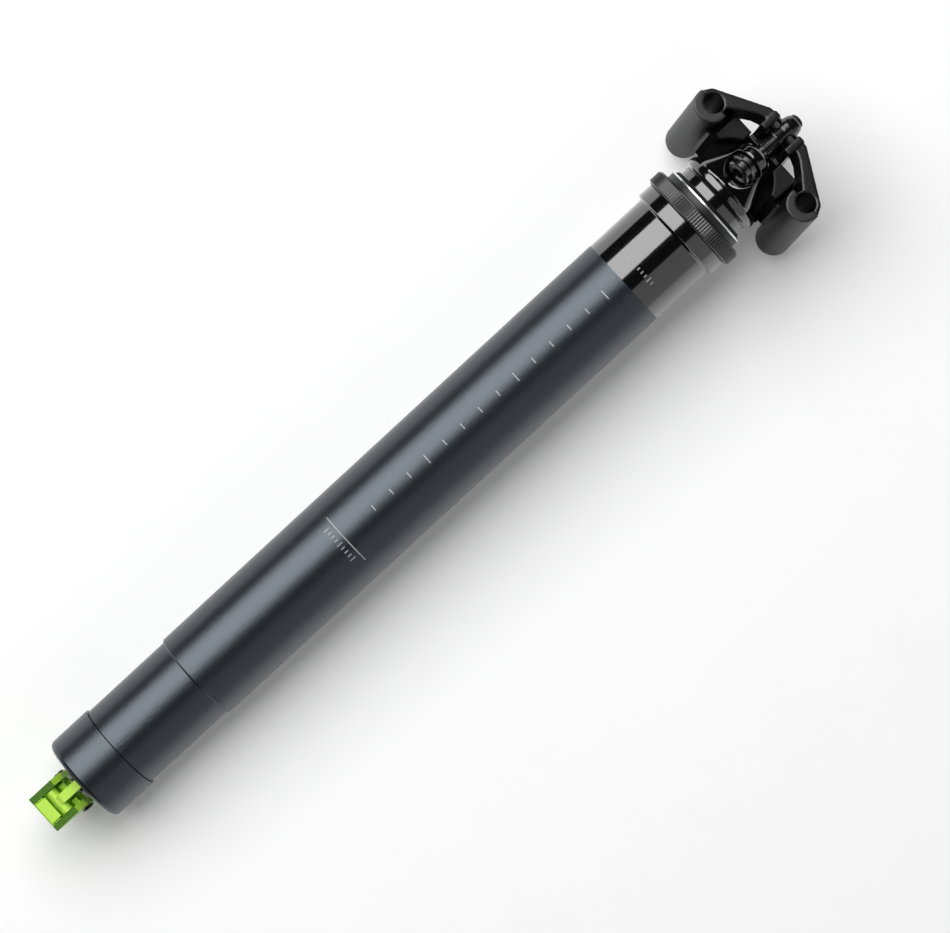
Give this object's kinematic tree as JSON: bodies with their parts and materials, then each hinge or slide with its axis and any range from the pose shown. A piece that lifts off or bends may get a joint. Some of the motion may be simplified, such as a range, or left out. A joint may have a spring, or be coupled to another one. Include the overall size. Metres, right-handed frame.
{
  "type": "dropper seatpost",
  "caption": "Telescopic dropper seatpost shown compressed, with a knurled seal collar, a bolted saddle rail clamp on a forged head and a cable-pulled release lever under the bottom cap.",
  "frame": {"origin": "post axis at the shoulder that rests on the frame's seat tube", "axes": "+Z along the post towards the saddle clamp, -Y to the rear of the bicycle, +X to its right"},
  "size_m": [0.0546, 0.0481, 0.3291],
  "materials": {
    "tube_black": "matte black anodised, fine grain",
    "gloss_black": "gloss black",
    "satin_black": "satin black anodised",
    "bolt_black": "black oxide, polished",
    "bright_ring": "bright turned ring",
    "rubber": "black seal rubber",
    "bushing": "glide bushing",
    "steel": "ground steel",
    "alloy": "plain turned alloy",
    "brass": "plain brass",
    "lime": "lime green anodised"
  },
  "bodies": {
    "outer": {"outer_tube": "tube_black", "bottom_cap": "tube_black", "bottom_cap_o_ring": "rubber", "seal_collar": "satin_black", "wiper_seal": "rubber", "wiper_ring": "bright_ring", "stanchion_seal": "rubber", "upper_bushing": "bushing", "bottom_out_bumper": "rubber", "cartridge_rod": "steel", "main_piston": "brass", "piston_seal": "rubber", "rod_lock_nut": "steel", "actuator_bracket": "lime", "lever_pivot_pin": "steel", "pivot_clips": "bolt_black", "cable_anchor_barrel": "lime", "anchor_grub_screw": "bolt_black"},
    "stanchion": {"stanchion_tube": "gloss_black", "head": "gloss_black", "cartridge_body": "alloy", "cartridge_top_plug": "alloy", "cartridge_top_nut": "steel", "cartridge_gland": "alloy", "rod_seal": "rubber", "lower_bushing": "bushing", "guide_keys": "brass", "stanchion_circlip": "steel"},
    "clamp": {"lower_cradle": "satin_black", "upper_clamp": "satin_black"},
    "rear_bolt": {"rear_clamp_bolt": "bolt_black", "rear_bolt_washer": "bolt_black"},
    "front_bolt": {"front_clamp_bolt": "bolt_black", "front_bolt_washer": "bolt_black"},
    "rear_nut": {"rear_barrel_nut": "bolt_black"},
    "front_nut": {"front_barrel_nut": "bolt_black"},
    "gas_piston": {"floating_piston": "alloy", "floating_piston_seal": "rubber"},
    "lever": {"actuator_lever": "lime"},
    "pushrod": {"release_pushrod": "steel", "valve_poppet": "brass"}
  },
  "joints": [
    {"name": "post_slide", "type": "slide", "parent": "outer", "child": "stanchion", "axis": [0, 0, 1], "range_m": [0, 0.18]},
    {"name": "clamp_tilt", "type": "hinge", "parent": "stanchion", "child": "clamp", "pos_m": [0, 0, 0.031], "axis": [1, 0, 0], "range_deg": [-4, 14]},
    {"name": "rear_bolt_swing", "type": "hinge", "parent": "stanchion", "child": "rear_bolt", "pos_m": [0, -0.0187, 0.0285], "axis": [1, 0, 0], "range_deg": [-2.4, 8.2]},
    {"name": "front_bolt_swing", "type": "hinge", "parent": "stanchion", "child": "front_bolt", "pos_m": [0, 0.019, 0.0181], "axis": [1, 0, 0], "range_deg": [-1.6, 5.4]},
    {"name": "rear_nut_turn", "type": "hinge", "parent": "clamp", "child": "rear_nut", "pos_m": [0, -0.01153, 0.04764], "axis": [1, 0, 0], "range_deg": [-6.1, 1.8]},
    {"name": "front_nut_turn", "type": "hinge", "parent": "clamp", "child": "front_nut", "pos_m": [0, 0.01899, 0.03801], "axis": [1, 0, 0], "range_deg": [-9, 2.7]},
    {"name": "gas_piston_slide", "type": "slide", "parent": "stanchion", "child": "gas_piston", "axis": [0, 0, 1], "range_m": [-0.041, 0]},
    {"name": "lever_press", "type": "hinge", "parent": "outer", "child": "lever", "pos_m": [0, 0.008, -0.2644], "axis": [-1, 0, 0], "range_deg": [0, 6], "stiffness_Nm_per_rad": 0.8},
    {"name": "pushrod_slide", "type": "slide", "parent": "outer", "child": "pushrod", "axis": [0, 0, 1], "range_m": [0, 0.0009]}
  ],
  "couplings": [
    {"joint": "rear_bolt_swing", "follows": "clamp_tilt", "ratio": 0.576},
    {"joint": "front_bolt_swing", "follows": "clamp_tilt", "ratio": 0.373},
    {"joint": "rear_nut_turn", "follows": "clamp_tilt", "ratio": -0.424},
    {"joint": "front_nut_turn", "follows": "clamp_tilt", "ratio": -0.627},
    {"joint": "gas_piston_slide", "follows": "post_slide", "ratio": -0.2215},
    {"joint": "pushrod_slide", "follows": "lever_press", "m_per_rad": 0.008}
  ]
}
